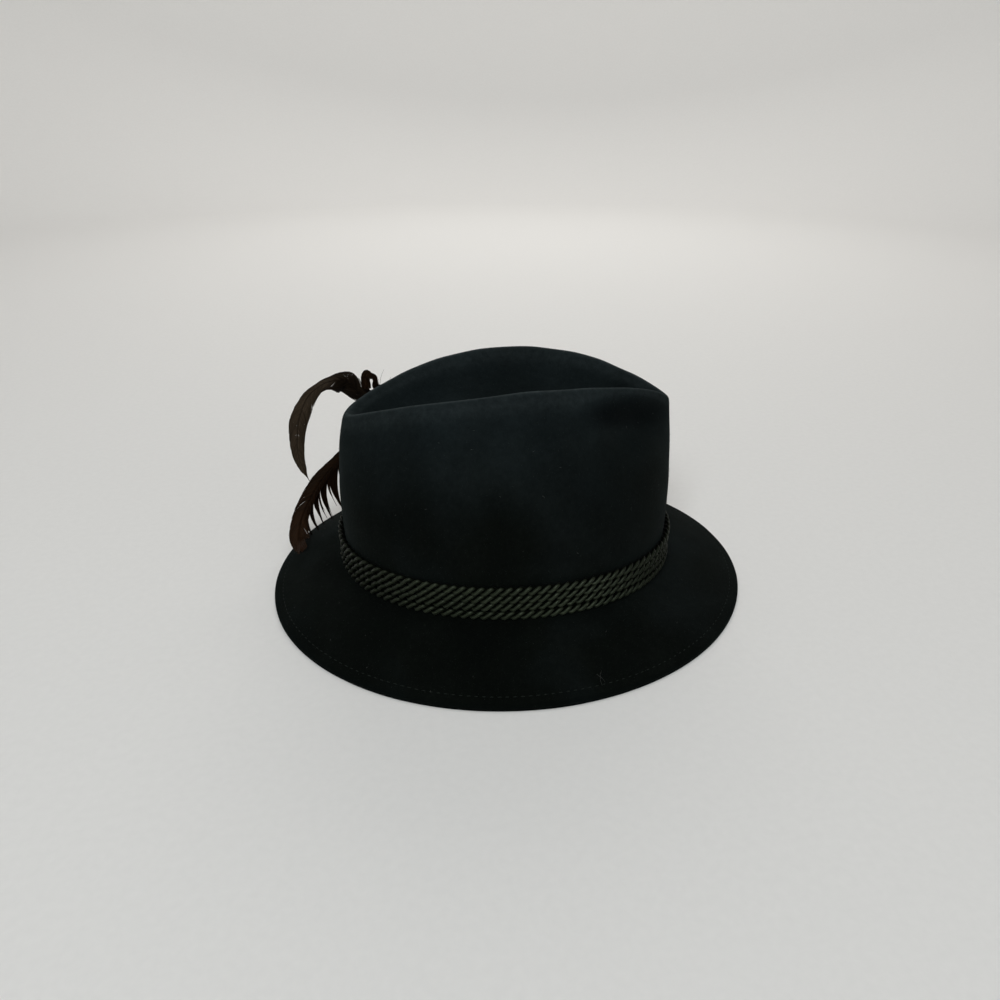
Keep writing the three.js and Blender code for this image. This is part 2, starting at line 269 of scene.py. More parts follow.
def foot_point(angle, inset):
    """Where the brim's slope and the crown's wall would meet: an oval, lower at the front than at the
    rear and higher at the sides. inset is 0 on the outer side and the felt's thickness on the inner."""
    x = CROWN_SHIFT + (CROWN_HALF_LENGTH - inset) * np.cos(angle)
    y = (CROWN_HALF_WIDTH - inset) * np.sin(angle)
    z = FOOT_HEIGHT - FOOT_TILT * np.cos(angle) - FOOT_SWELL * np.cos(2 * angle)
    return stack(x, y, z - INNER_FOOT_DROP * inset)


def rim_point(angle, inset):
    """The rim's flat oval: the top edge one felt thickness above the table, the inner edge on it."""
    drawn_in = REST_WIDTH if inset > 0 else 0
    x = (RIM_HALF_LENGTH - drawn_in) * np.cos(angle)
    y = (RIM_HALF_WIDTH - drawn_in) * np.sin(angle)
    return stack(x, y, 0 if inset > 0 else FELT_THICKNESS)


def ridge_height(x):
    """An arch over the hat's length: the top less a drop that grows as a power of the distance."""
    forward = x > RIDGE_TOP_AT
    drop = RIDGE_TOP_HEIGHT - np.where(forward, FRONT_CORNER_HEIGHT, REAR_CORNER_HEIGHT)
    reach = np.where(forward, RIDGE_HALF_LENGTH - RIDGE_TOP_AT, RIDGE_HALF_LENGTH + RIDGE_TOP_AT)
    arch = np.where(forward, FRONT_ARCH, REAR_ARCH)
    return RIDGE_TOP_HEIGHT - drop * (np.abs(x - RIDGE_TOP_AT) / reach) ** arch


def ridge_point(angle, inset):
    """The ridges: from above an oval whose width is gathered, more in front than at the rear."""
    along = np.cos(angle)
    gather = mix(REAR_GATHER, FRONT_GATHER, (1 + along) / 2)
    half_width = RIDGE_HALF_WIDTH - INNER_RIDGE_NARROWING * inset
    x = RIDGE_SHIFT + (RIDGE_HALF_LENGTH - inset) * along
    y = half_width * np.sin(angle) * (1 - gather * along ** 2)
    return stack(x, y, ridge_height(RIDGE_HALF_LENGTH * along) - INNER_RIDGE_DROP * inset)


def crease_point(angle, inset):
    """The bottom of the crease: straight along the hat, and lower at its ends by a square law."""
    along = np.cos(angle)
    z = RIDGE_TOP_HEIGHT - CREASE_DEPTH - CREASE_END_DROP * along ** 2 - inset
    return stack(RIDGE_SHIFT + CREASE_HALF_LENGTH * along, 0, z)


def brim_point(angle, share, inset):
    """A straight line from the rim to the foot, raised by a parabola with its top halfway."""
    point = mix(rim_point(angle, inset), foot_point(angle, inset), share[..., None])
    point[..., 2] += BRIM_BOW * 4 * share * (1 - share)
    return point


def tuck(x, below_ridge):
    """A bell with a flat top, along the hat and in the distance below the ridge."""
    along = (x - TUCK_AT) / TUCK_HALF_LENGTH
    below = (below_ridge - TUCK_BELOW_RIDGE) / TUCK_HALF_HEIGHT
    return np.exp(-(along ** 2 + below ** 2) ** 2)


def wall_point(angle, share, inset):
    """From the foot to the ridge: the height goes evenly, the lean as a power of the share, and a half
    sine swells it outwards. A bell-shaped dent along the hat and in height pinches both sides, and a
    smaller one tucks them in under the ridge."""
    foot = foot_point(angle, inset)
    ridge = ridge_point(angle, inset)
    swell = WALL_BULGE * np.sin(np.pi * share)
    lean = share ** WALL_CURVE
    x = mix(foot[..., 0], ridge[..., 0], lean) + swell * np.cos(angle)
    y = mix(foot[..., 1], ridge[..., 1], lean) + swell * np.sin(angle)
    z = mix(foot[..., 2], ridge[..., 2], share)
    along = (x - PINCH_AT) / PINCH_HALF_LENGTH
    above = (z - PINCH_HEIGHT) / PINCH_HALF_HEIGHT
    dent = PINCH_DEPTH * np.exp(-along ** 2 - above ** 2) + TUCK_DEPTH * tuck(x, ridge[..., 2] - z)
    return stack(x, y - dent * np.tanh(y / (0.2 * RIDGE_HALF_WIDTH)), z)


def top_point(angle, share, inset):
    """From the ridge into the crease: level at the bottom, by a parabola in height."""
    ridge = ridge_point(angle, inset)
    crease = crease_point(angle, inset)
    point = mix(ridge, crease, share[..., None])
    point[..., 2] = mix(ridge[..., 2], crease[..., 2], 1 - (1 - share) ** 2)
    return point


def rounded(start, corner, end, share):
    """A corner as a quadratic curve that is drawn towards it."""
    share = share[..., None]
    return mix(mix(start, corner, share), mix(corner, end, share), share)


def felt_rows(angle, inset, brim_rows, foot_rows, wall_rows, fold_rows, top_rows):
    """Rows of one side of the felt from the rim to the crease, as (rows, angles, 3). The brim, the wall
    and the top are joined by rounded corners, wider at the ridges' front and rear ends. Also a tone for
    each place: up to 1 along the ridges, for wear and a painted highlight, and below 0 at the rim's
    edge and, as painted shade, in the tuck under the ridge."""
    a = angle[None, :]
    foot, ridge, crease = foot_point(a, inset), ridge_point(a, inset), crease_point(a, inset)
    foot_bend = FOOT_ROUNDING + INNER_FOOT_BEND * inset
    fold_bend = FOLD_ROUNDING + CORNER_ROUNDING * np.cos(a) ** 12 - INNER_FOLD_BEND * inset
    brim_end = 1 - foot_bend / np.linalg.norm(rim_point(a, inset) - foot, axis=-1)
    wall_start = foot_bend / (ridge[..., 2] - foot[..., 2])
    wall_end = 1 - fold_bend / (ridge[..., 2] - foot[..., 2])
    top_start = fold_bend / np.linalg.norm(ridge - crease, axis=-1)

    def shares(count, ends=(False, False)):
        """Even shares from 0 to 1 as a column, with or without each end."""
        line = np.linspace(0, 1, count + 2 - sum(ends))
        return line[(0 if ends[0] else 1):(None if ends[1] else -1), None]

    brim = shares(brim_rows, (True, False)) * brim_end
    foot_turn = shares(foot_rows, (True, True)) + 0 * a
    wall = mix(wall_start, wall_end, shares(wall_rows))
    fold_turn = shares(fold_rows, (True, True)) + 0 * a
    top = mix(top_start, 1, shares(top_rows))
    wall_place = wall_point(a, wall, inset)
    # Painted shade: a negative tone that darkens the felt in the tuck under the ridge
    deep = TUCK_PAINTED_SHADE * tuck(wall_place[..., 0], ridge[..., 2] - wall_place[..., 2])
    rows = [
        brim_point(a, brim, inset),
        rounded(brim_point(a, brim_end, inset), foot, wall_point(a, wall_start, inset), foot_turn),
        wall_place,
        rounded(wall_point(a, wall_end, inset), ridge, top_point(a, top_start, inset), fold_turn),
        top_point(a, top, inset),
    ]
    # Tones: wear plus a painted highlight along the ridges, painted shade in the tuck, a darker rim edge
    wear_and_painted_light = [
        EDGE_TONE * np.exp(-(brim / 0.03) ** 2),
        0 * foot_turn,
        0.3 * np.exp(-((wall_end - wall) / 0.05) ** 2) + deep,
        0.25 + 0.75 * np.exp(-((fold_turn - 0.5) / 0.16) ** 2),
        0.3 * np.exp(-((top - top_start) / 0.1) ** 2),
    ]
    return np.concatenate(rows), np.concatenate(wear_and_painted_light)


def soft_waves(points):
    """How far hand-blocked felt stands out or in from its true form: a sum of long sine waves in the
    place. They fade out towards the cords and the rim, which lie close."""
    x, y, z = np.moveaxis(points, -1, 0)
    waves = (np.sin(61 * x + 47 * z + 0.7) * np.sin(53 * y - 38 * z + 1.9)
             + 0.6 * np.sin(118 * x - 97 * y + 1.1) * np.sin(133 * z + 0.4)
             + 0.35 * np.sin(210 * y + 190 * z + 2.3) * np.sin(187 * x + 0.8))
    over_cords = np.clip((z - 52 * MM) / (24 * MM), 0, 1)
    on_brim = np.clip((np.hypot(x / CROWN_HALF_LENGTH, y / CROWN_HALF_WIDTH) - 1.1) / 0.2, 0, 1)
    on_brim = on_brim * np.clip(z / (9 * MM), 0, 1)
    return WAVE_HEIGHT * waves * np.maximum(over_cords, on_brim)


def row_normals(rows):
    """Outward directions of a surface stored as rows of closed rings, from its neighbouring points."""
    round_hat = np.roll(rows, -1, axis=1) - np.roll(rows, 1, axis=1)
    climb = np.gradient(rows, axis=0)
    return unit(np.cross(round_hat, climb))


def felt_hood():
    """One closed felt surface: the outer side from the rim to the crease, the inner side back down, and
    between them the rounded cut edge and the flat underside of the rim."""
    angle = 2 * np.pi * np.arange(FELT_COLUMNS) / FELT_COLUMNS
    outer, wear_and_painted_light = felt_rows(angle, 0, *OUTER_ROWS)
    inner, _ = felt_rows(angle, FELT_THICKNESS, *INNER_ROWS)
    normals = row_normals(outer)
    distance = np.linalg.norm(outer - outer[:1], axis=-1)
    groove = GROOVE_DEPTH * np.exp(-((distance - STITCH_INSET) / (GROOVE_WIDTH / 2)) ** 2)
    outer = outer + normals * (soft_waves(outer) - groove)[..., None]

    rim = outer[0]
    outward = unit(rim * [1, 1, 0])
    bend = np.linspace(0, 1, 5)[:, None]
    below = rim - [0, 0, EDGE_ROUNDING]
    inside = rim + unit(outer[1] - rim) * EDGE_ROUNDING
    on_table = rim * [1, 1, 0]
    half_round = EDGE_ROUNDING / 2
    top_turn = rounded(inside, rim, below, bend)
    low_turn = rounded(on_table + [0, 0, half_round], on_table, on_table - outward * half_round, bend)
    edge = np.concatenate([low_turn[::-1], top_turn[::-1]])
    keep = np.linalg.norm(outer - rim, axis=-1).mean(axis=1) > 1.4 * EDGE_ROUNDING
    outer, wear_and_painted_light = outer[keep], wear_and_painted_light[keep]

    rings = np.concatenate([inner[::-1], edge, outer])
    tones = [np.zeros(inner.shape[:2]), np.full(edge.shape[:2], EDGE_TONE), wear_and_painted_light]
    body, _ = grid_faces(len(rings), FELT_COLUMNS)
    points = [rings.reshape(-1, 3)]
    faces = [body]
    half = FELT_COLUMNS // 2
    column = np.arange(FELT_COLUMNS)
    fold = np.minimum(column, FELT_COLUMNS - column)
    beside = (column + 1) % FELT_COLUMNS
    count = rings.shape[0] * FELT_COLUMNS
    for inset, row, outwards in ((FELT_THICKNESS, 0, False), (0, len(rings) - 1, True)):
        points.append(crease_point(angle[:half + 1], inset))
        near = row * FELT_COLUMNS
        corners = (near + column, near + beside, count + fold[beside], count + fold[column])
        strip = np.stack(corners, axis=1)
        faces.append(strip if outwards else strip[:, ::-1])
        count += half + 1
    tones = np.concatenate([*(part.ravel() for part in tones), np.zeros(2 * (half + 1))])
    return add_piece("felt_hood_surface", np.concatenate(points), faces, felt_material(),
                     tones=tones, replaces=["felt_hood"])


def felt_nap():
    """Loose wool fibres on the felt: three-sided needles, closed at the foot, at places drawn evenly
    over the outer surface, each leaning at random from the surface's own direction."""
    angle = 2 * np.pi * np.arange(FELT_COLUMNS) / FELT_COLUMNS
    rows, _ = felt_rows(angle, 0, *OUTER_ROWS)
    rows = rows[2:]
    normals = row_normals(rows)
    rows = rows + normals * soft_waves(rows)[..., None]
    spans = np.linalg.norm(np.diff(rows, axis=0), axis=-1)
    widths = np.linalg.norm(np.roll(rows, -1, axis=1) - rows, axis=-1)[:-1]
    area = (spans * widths).ravel()
    row, column = np.divmod(DRAW.choice(len(area), NAP_COUNT, p=area / area.sum()), FELT_COLUMNS)
    beside = (column + 1) % FELT_COLUMNS
    u, v = DRAW.random((2, NAP_COUNT, 1))
    lower = mix(rows[row, column], rows[row, beside], u)
    place = mix(lower, mix(rows[row + 1, column], rows[row + 1, beside], u), v)
    facing = normals[row, column]
    lean = unit(DRAW.normal(size=(NAP_COUNT, 3)))
    direction = unit(facing * DRAW.uniform(0.15, 0.9, (NAP_COUNT, 1)) + lean * 0.8)
    sunk = np.maximum(0, 0.25 - np.sum(direction * facing, axis=1))
    direction = unit(direction + facing * sunk[:, None])
    length = DRAW.uniform(0.35, 1.0, (NAP_COUNT, 1)) * MM
    side = unit(np.cross(direction, facing + 0.01 * lean))
    other = unit(np.cross(direction, side))
    root = place - facing * NAP_SUNK
    foot = [root + NAP_THICKNESS * (math.cos(t) * side + math.sin(t) * other) for t in (0, 2.1, 4.2)]
    points = np.stack(foot + [place + direction * length], axis=1).reshape(-1, 3)
    start = 4 * np.arange(NAP_COUNT)[:, None]
    needle = ([0, 1, 3], [1, 2, 3], [2, 0, 3], [2, 1, 0])
    faces = np.concatenate([start + [corners] for corners in needle])
    tones = np.repeat(DRAW.random(NAP_COUNT), 4)
    return add_piece("felt_nap", points, [faces], nap_material(), tones=tones)


# The cords

def wall_frame(angle, rise):
    """The place on the wall at a rise above the foot, and the directions round the hat, up the wall and
    straight out of it there, from small steps in the angle and the share."""
    share = rise / (ridge_point(angle, 0)[..., 2] - foot_point(angle, 0)[..., 2])
    step = 0.004
    round_hat = unit(wall_point(angle + step, share, 0) - wall_point(angle - step, share, 0))
    climb = wall_point(angle, share + step, 0) - wall_point(angle, share - step, 0)
    facing = unit(np.cross(round_hat, climb))
    return wall_point(angle, share, 0), round_hat, np.cross(facing, round_hat), facing


def cord_middle(rise):
    """A cord's middle line once round the hat, at even steps of length, with its outward and upward
    directions. It stands off the wall by half its thickness, a clearance, and more over the foot's
    rounding."""
    angle = np.linspace(0, 2 * np.pi, 4 * CORD_SAMPLES + 1)
    crowding = max(0, FOOT_ROUNDING - (rise - CORD_HEIGHT / 2))
    stand_off = CORD_THICKNESS / 2 + CORD_CLEARANCE + FOOT_CROWDING * crowding

    def line(a):
        place, _, up, facing = wall_frame(a, rise)
        return place + facing * stand_off, up, facing

    angle_at, length = along_line(line(angle)[0], angle)
    return *line(angle_at(np.arange(CORD_SAMPLES) / CORD_SAMPLES * length)), length


def twisted_cord(row):
    """Two strands wound round a core along a cord's middle line: each strand's middle runs on a
    flattened oval, once round it in a turn's length. A strand's section is an oval that turns with it,
    with small lobes for its yarns, which wind the other way. From row to row the strands line up, a
    little ahead or behind by slow sines. The core is an oval that lies back towards the wall; it and
    the strands' inner sides are painted dark as shade between the strands."""
    middle, up, facing, length = cord_middle(FIRST_CORD_RISE + row * CORD_PITCH)
    turns = round(length / STRAND_TURN)
    yarn_turns = round(length / YARN_TURN)
    share = np.arange(CORD_SAMPLES)[:, None] / CORD_SAMPLES
    turn = 2 * np.pi * np.arange(STRAND_SIDES)[None, :] / STRAND_SIDES
    drift = (0.12 * np.sin(2 * np.pi * (5 * share + 0.31 * row))
             + 0.08 * np.sin(2 * np.pi * (9 * share + 0.57 * row))
             + row * ROW_LEAN * np.sin(6 * np.pi * (share - 0.715)))
    relief = YARN_RELIEF * (1 - np.abs(np.sin(YARNS_IN_STRAND / 2 * turn + np.pi * yarn_turns * share)))

    def skin(path, out, high, cut):
        """An oval section carried along a path, less a cut."""
        along = unit(np.roll(path, -1, axis=0) - np.roll(path, 1, axis=0))
        across = unit(up - along * np.sum(up * along, axis=1, keepdims=True))
        outward = np.cross(along, across)
        outward = outward * np.sign(np.sum(outward * facing, axis=1, keepdims=True))
        return (path[:, None] + outward[:, None] * ((out / 2 - cut) * np.cos(turn))[..., None]
                + across[:, None] * ((high / 2 - cut) * np.sin(turn))[..., None])

    skins = [skin(middle - facing * CORE_SINK, CORE_OUT, CORE_UP, 0 * relief)]
    for strand in range(2):
        phase = 2 * np.pi * turns * share + np.pi * strand + drift
        front = np.cos(phase) * np.sqrt(1.25 / (0.25 + np.cos(phase) ** 2))
        swing = facing * (CORD_THICKNESS - STRAND_OUT) / 2 * front
        path = middle + swing + up * STRAND_CLIMB * np.sin(phase)
        skins.append(skin(path, STRAND_OUT, STRAND_UP, relief))
    body, shares = grid_faces(CORD_SAMPLES, STRAND_SIDES, close_rows=True)
    faces = [body[:, ::-1] + CORD_SAMPLES * STRAND_SIDES * number for number in range(3)]
    points = np.stack(skins)
    # How far each point stands out, for the painted shade between strands; the core gets the darkest
    depth = np.sum((points - middle[:, None]) * facing[:, None], axis=-1) / (CORD_THICKNESS / 2)
    depth[0] = -1
    uv = np.tile(shares[:, ::-1] * [4, length / STRAND_TURN], (3, 1, 1))
    cord = f"hat_cord_{row + 1}"
    return add_piece(cord + "_strands", points.reshape(-1, 3), faces, cord_material(),
                     uv=uv.reshape(-1, 2), tones=depth.ravel(), replaces=[cord])


# The plume

# Feathers. A row for each station along a spine, from the binding to the tip: how far it lies to the
# rear of the binding's head, outwards and up, as shares of the plume's length, how wide the vane is on
# its outer and its inner side, as shares of half the widest, and how far it is turned about the spine,
# in degrees.
STATION = ["back", "out", "up", "outer", "inner", "turn"]
SICKLE = [
    (0, 0, -0.08, 0.4, 0.4, 0),
    (0.09, 0.01, 0.17, 0.5, 0.5, 0),
    (0.21, 0, 0.26, 0.6, 0.7, 0),
    (0.35, -0.04, 0.34, 0.65, 0.85, 0),
    (0.43, -0.07, 0.41, 0.72, 0.92, 0),
    (0.49, -0.09, 0.48, 0.98, 1.12, 0),
    (0.58, -0.13, 0.51, 0.43, 0.95, 45),
    (0.66, -0.18, 0.495, 0.50, 0.50, 58),
    (0.74, -0.22, 0.44, 0.56, 0.80, 40),
    (0.78, -0.25, 0.37, 0.69, 0.80, 20),
    (0.81, -0.28, 0.29, 0.77, 0.73, 5),
    (0.83, -0.3, 0.17, 0.63, 0.59, 0),
    (0.83, -0.32, 0.07, 0.48, 0.46, 0),
    (0.81, -0.33, -0.01, 0.33, 0.25, 0),
    (0.78, -0.34, -0.1, 0.05, 0.05, 0),
]
DROOPING = [
    (0, 0, -0.08, 0.4, 0.4, 0),
    (0.17, -0.01, 0.05, 0.6, 0.4, 0),
    (0.35, -0.07, 0.07, 0.62, 0.4, 0),
    (0.49, -0.15, 0.035, 0.58, 0.35, 0),
    (0.61, -0.23, -0.04, 0.6, 0.3, 0),
    (0.71, -0.29, -0.13, 0.83, 0.35, 0),
    (0.79, -0.35, -0.23, 0.87, 0.38, 0),
    (0.85, -0.41, -0.33, 0.86, 0.5, 0),
    (0.88, -0.5, -0.42, 0.84, 0.9, 10),
    (0.87, -0.62, -0.45, 0.7, 0.8, 24),
]
PEAK = [
    (0, 0, -0.08, 0.3, 0.3, 0),
    (0.07, 0.02, 0.21, 0.3, 0.3, 0),
    (0.20, -0.01, 0.37, 0.25, 0.5, 0),
    (0.296, -0.09, 0.445, 0.2, 0.42, 0),
    (0.304, -0.098, 0.485, 0.18, 0.2, 0),
    (0.312, -0.1, 0.508, 0.24, 0.2, 0),
    (0.336, -0.1, 0.524, 0.22, 0.36, 0),
    (0.356, -0.097, 0.536, 0.3, 0.4, 0),
    (0.364, -0.095, 0.524, 0.32, 0.36, 0),
    (0.369, -0.092, 0.5, 0.34, 0.36, 0),
    (0.372, -0.087, 0.43, 0.34, 0.46, 0),
]
LEFT_LOW = [
    (0, 0, -0.08, 0.35, 0.35, 0),
    (0.16, 0.06, -0.01, 0.7, 0.7, 0),
    (0.34, 0.06, -0.06, 0.65, 0.65, 0),
    (0.48, 0, -0.14, 0.2, 0.2, 0),
]
LEFT_MIDDLE = [
    (0, 0, -0.08, 0.35, 0.35, 0),
    (0.14, 0.07, 0.1, 0.8, 0.8, 0),
    (0.3, 0.08, 0.19, 0.75, 0.75, 0),
    (0.44, 0.04, 0.22, 0.2, 0.2, 0),
]
LEFT_HIGH = [
    (0, 0, -0.08, 0.35, 0.35, 0),
    (0.05, 0.06, 0.16, 0.8, 0.8, 0),
    (0.14, 0.08, 0.31, 0.75, 0.75, 0),
    (0.26, 0.05, 0.39, 0.2, 0.2, 0),
]


def binding_ends():
    """Foot and head of the quill binding, which stands off the cords and leans to the rear."""
    angle = np.array(math.acos((BINDING_AT - CROWN_SHIFT) / CROWN_HALF_LENGTH))
    place, _, _, facing = wall_frame(angle, FIRST_CORD_RISE)
    stand_off = CORD_CLEARANCE + CORD_THICKNESS + BINDING_CLEARANCE + BINDING_DIAMETER / 2
    foot = place + facing * stand_off
    return foot, foot + BINDING_LENGTH * np.array([-math.sin(BINDING_LEAN), 0, math.cos(BINDING_LEAN)])


BINDING_FOOT, BINDING_HEAD = binding_ends()


def spine_point(stations, share):
    """A smooth curve through the stations: between two of them a cubic whose slopes come from the
    square roots of the distances to their neighbours. Past each end the curve runs on as if mirrored."""
    table = np.array(stations)[:, :3] * [-1, 1, 1] * PLUME_LENGTH + BINDING_HEAD
    table = np.concatenate([[2 * table[0] - table[1]], table, [2 * table[-1] - table[-2]]])
    place = np.clip(share, 0, 1) * (len(stations) - 1)
    index = np.minimum(place.astype(int), len(stations) - 2)
    t = (place - index)[..., None]
    p0, p1, p2, p3 = (table[index + k] for k in range(4))
    d0, d1, d2 = (np.sqrt(np.linalg.norm(b - a, axis=-1, keepdims=True))
                  for a, b in ((p0, p1), (p1, p2), (p2, p3)))
    slope1 = ((p1 - p0) / d0 - (p2 - p0) / (d0 + d1) + (p2 - p1) / d1) * d1
    slope2 = ((p2 - p1) / d1 - (p3 - p1) / (d1 + d2) + (p3 - p2) / d2) * d1
    bend = -3 * p1 + 3 * p2 - 2 * slope1 - slope2
    twist = 2 * p1 - 2 * p2 + slope1 + slope2
    return p1 + slope1 * t + bend * t ** 2 + twist * t ** 3


def station_value(stations, column, share):
    """One of a feather's columns at a share of the way through its stations, by straight lines."""
    values = np.array(stations)[:, STATION.index(column)]
    return np.interp(np.clip(share, 0, 1) * (len(stations) - 1), np.arange(len(stations)), values)


def spine_frame(stations, share):
    """The spine's place, its direction, the direction across the vane and the one off it. Across starts
    at right angles to the spine in the hat's lengthwise plane and turns about the spine by the column
    turn."""
    step = 0.002
    share = np.clip(share, step, 1 - step)
    along = unit(spine_point(stations, share + step) - spine_point(stations, share - step))
    across = unit(np.cross([0, 1, 0], along))
    turn = np.radians(station_value(stations, "turn", share))[..., None]
    across = across * np.cos(turn) + np.cross(along, across) * np.sin(turn)
    return spine_point(stations, share), along, across, np.cross(along, across)


def spine_length(stations):
    line = spine_point(stations, np.linspace(0, 1, 200))
    return np.linalg.norm(np.diff(line, axis=0), axis=1).sum()


def vane_edge(stations, share, side):
    """How far the vane reaches from the spine, on its outer side where side is above 0, or its inner."""
    outer = station_value(stations, "outer", share)
    inner = station_value(stations, "inner", share)
    return VANE_WIDTH / 2 * np.where(side > 0, outer, inner)


def blades(path, off, widths, tones, thickness=0.3):
    """Tapering blades along many paths, thinner off the vane than across it: points, faces and tones.
    widths and tones give one number for each sample of a path."""
    direction = unit(np.gradient(path, axis=1))
    flat = unit(np.cross(np.broadcast_to(off, path.shape), direction))
    upright = np.cross(direction, flat)
    widths = widths[..., None]
    points, faces = tubes(path, flat, upright, widths, widths * thickness, BARB_SIDES)
    round_blade = np.repeat(tones.ravel(), BARB_SIDES)
    return points, faces, np.concatenate([round_blade, tones[:, 0], tones[:, -1]])


def barbs(stations, each_side, sweep, cup, thick, splits, loose, shades):
    """The barbs of a vane as blades. A barb leaves the spine, sweeps towards the tip by a power of the
    way along it and reaches the vane's edge by a quarter sine. The last ones lie closer to the spine and
    close the end. The vane is cupped by a square law. At a split the barbs on its two sides lean apart.
    The tones run in slow streaks, and shades gives rows of a share of the spine and how much lighter
    the barbs are there."""
    count = 2 * each_side
    spacing = np.arange(each_side) + DRAW.uniform(-0.3, 0.3, each_side)
    root = VANE_START + (1 - VANE_START) * spacing / each_side
    root = np.clip(np.tile(root, 2), VANE_START, 0.995)[:, None]
    side = np.repeat([1.0, -1.0], each_side)[:, None]
    t = np.linspace(0, 1, BARB_SAMPLES)[None, :]
    tip = np.clip((1 - root) / 0.12, 0.15, 1)
    length = spine_length(stations)
    reach_share = sweep * 2 * vane_edge(stations, root, side) / length * (0.35 + 0.65 * tip)
    lean = sum(width * np.tanh((root - at) / 0.012) * np.exp(-((root - at) / 0.035) ** 2)
               for at, width in splits)
    stray = loose * DRAW.normal(size=(count, 1))
    share = root + reach_share * t ** 1.25 * (1 + stray) + lean * t ** 1.5
    place, along, across, off = spine_frame(stations, np.minimum(share, 0.998))
    edge = vane_edge(stations, np.minimum(share, 1), side)
    reach = np.sin(np.pi / 2 * t) ** 0.9 * (1 + 0.5 * loose * DRAW.normal(size=(count, 1)))
    over = 0.3 * np.maximum(share - 1, 0) * length
    lift = cup * edge * (reach ** 2) + DRAW.normal(size=(count, 1)) * 0.12 * MM * t
    aside = side * edge * reach * tip
    path = place + across * aside[..., None] + off * lift[..., None] + along * over[..., None]
    widths = thick * (1 - 0.72 * t ** 2) * np.minimum(1, 0.45 + 5 * (1 - root))
    streaks = np.sin(150 * root + 4 * np.sin(37 * root) + side)
    tones = 0.5 + 0.12 * DRAW.normal(size=(count, 1)) + 0.14 * streaks + 0.1 * (t ** 3 - 0.3)
    return blades(path, off, widths, tones + np.interp(root, *np.transpose(shades)))


def shaft(stations, wide):
    """The feather's shaft: a dark oval tube along the spine that tapers to the tip."""
    share = np.linspace(0.002, 0.998, 90)[None, :]
    place, _, across, off = spine_frame(stations, share)
    width = wide * (1 - 0.8 * share ** 0.8)[..., None]
    points, faces = tubes(place, across, off, width, 0.85 * width, 8)
    return points, faces, np.full(len(points), 0.1)


def feather(name, stations, each_side, material, sweep=1.5, cup=0.16, thick=0.6 * MM, splits=(),
            loose=0.04, shades=((0, 0), (1, 0)), wide=1.15 * MM, extra=()):
    """A feather as one piece: a shaft, barbs, and whatever else hangs on it."""
    vane = barbs(stations, each_side, sweep, cup, thick, splits, loose, shades)
    points = []
    faces = []
    tones = []
    count = 0
    for part_points, part_faces, part_tones in (shaft(stations, wide), vane, *extra):
        points.append(part_points)
        faces += [face + count for face in part_faces]
        tones.append(part_tones)
        count += len(part_points)
    return add_piece(name, np.concatenate(points), faces, material,
                     tones=np.concatenate(tones), replaces=["plume"])


# Locks of barbs that hang from the drooping feather's shaft: the share of the spine where each starts,
# its length, how far its end lies to the front and to the hat's middle as shares of that length, how
# wide it is near its start and how many barbs are in it
HANGING_LOCKS = [
    (0.20, 18 * MM, 0.10, 0.12, 5 * MM, 16),
    (0.27, 21 * MM, 0.10, 0.1, 5 * MM, 16),
    (0.335, 25 * MM, 0.10, 0.08, 5 * MM, 18),
    (0.395, 28 * MM, 0.08, 0.05, 4.5 * MM, 16),
    (0.450, 34 * MM, 0.07, 0.03, 7.0 * MM, 38),
    (0.492, 27 * MM, 0.11, 0.02, 1.2 * MM, 4),
    (0.525, 33 * MM, 0.05, 0.02, 5.6 * MM, 30),
    (0.570, 28 * MM, 0.08, 0.01, 1.2 * MM, 4),
    (0.600, 28 * MM, 0.07, 0, 4.6 * MM, 22),
    (0.655, 26 * MM, 0.07, 0, 4.8 * MM, 25),
    (0.725, 21 * MM, 0.09, 0, 4.8 * MM, 25),
]


def hanging_locks(stations):
    """Barbs that hang in pointed locks. A lock's middle is a quadratic curve from the shaft, first along
    the spine and then down. Its barbs start side by side and close up on the lock's end, the outer ones
    sooner, by a share of their place in the lock."""
    parts = []
    t = np.linspace(0, 1, 10)[None, :, None]
    for start, length, front, inward, wide, count in HANGING_LOCKS:
        beside = np.linspace(-1, 1, count)[:, None] + DRAW.uniform(-0.1, 0.1, (count, 1))
        root = start + beside * wide / 2 / spine_length(stations) * 1.5
        place, _, _, off = spine_frame(stations, root)
        middle, onwards, _, _ = spine_frame(stations, np.array([[start]]))
        corner = middle + 0.4 * length * unit(onwards * [1, 1, 0.4] * 0.55 + [0, 0, -1])
        end = middle + length * np.array([front, -inward, -1.0])
        stop = 1 - 0.3 * np.abs(beside)[..., None] * DRAW.uniform(0.3, 1, (count, 1, 1))
        last = rounded(middle, corner, end, stop[..., 0])
        last = last + DRAW.normal(size=(count, 1, 3)) * [0.3 * MM, 0.5 * MM, 0.2 * MM]
        bend = corner + (place - middle) * 0.75
        widths = 0.85 * MM * (1 - 0.75 * t[..., 0] ** 1.6) + 0 * root
        tones = 0.3 + 0.12 * DRAW.normal(size=(count, 1)) + 0.25 * t[..., 0] ** 2
        parts.append(blades(rounded(place, bend, last, t[..., 0]), off, widths, tones))
    return parts


# Loose hair-thin barbs behind the crown's rear corner: the share of the peak feather's spine where each
# starts, its length, and how far it leans and then bends to the front, as shares of that length
LOOSE_HAIRS = [
    (0.27, 12.2 * MM, -0.08, 0.34),
    (0.215, 9 * MM, 0.05, 0.1),
    (0.285, 5.5 * MM, -0.2, 0.15),
    (0.30, 4.6 * MM, 0.1, 0.2),
    (0.24, 7 * MM, 0.3, 0.2),
]


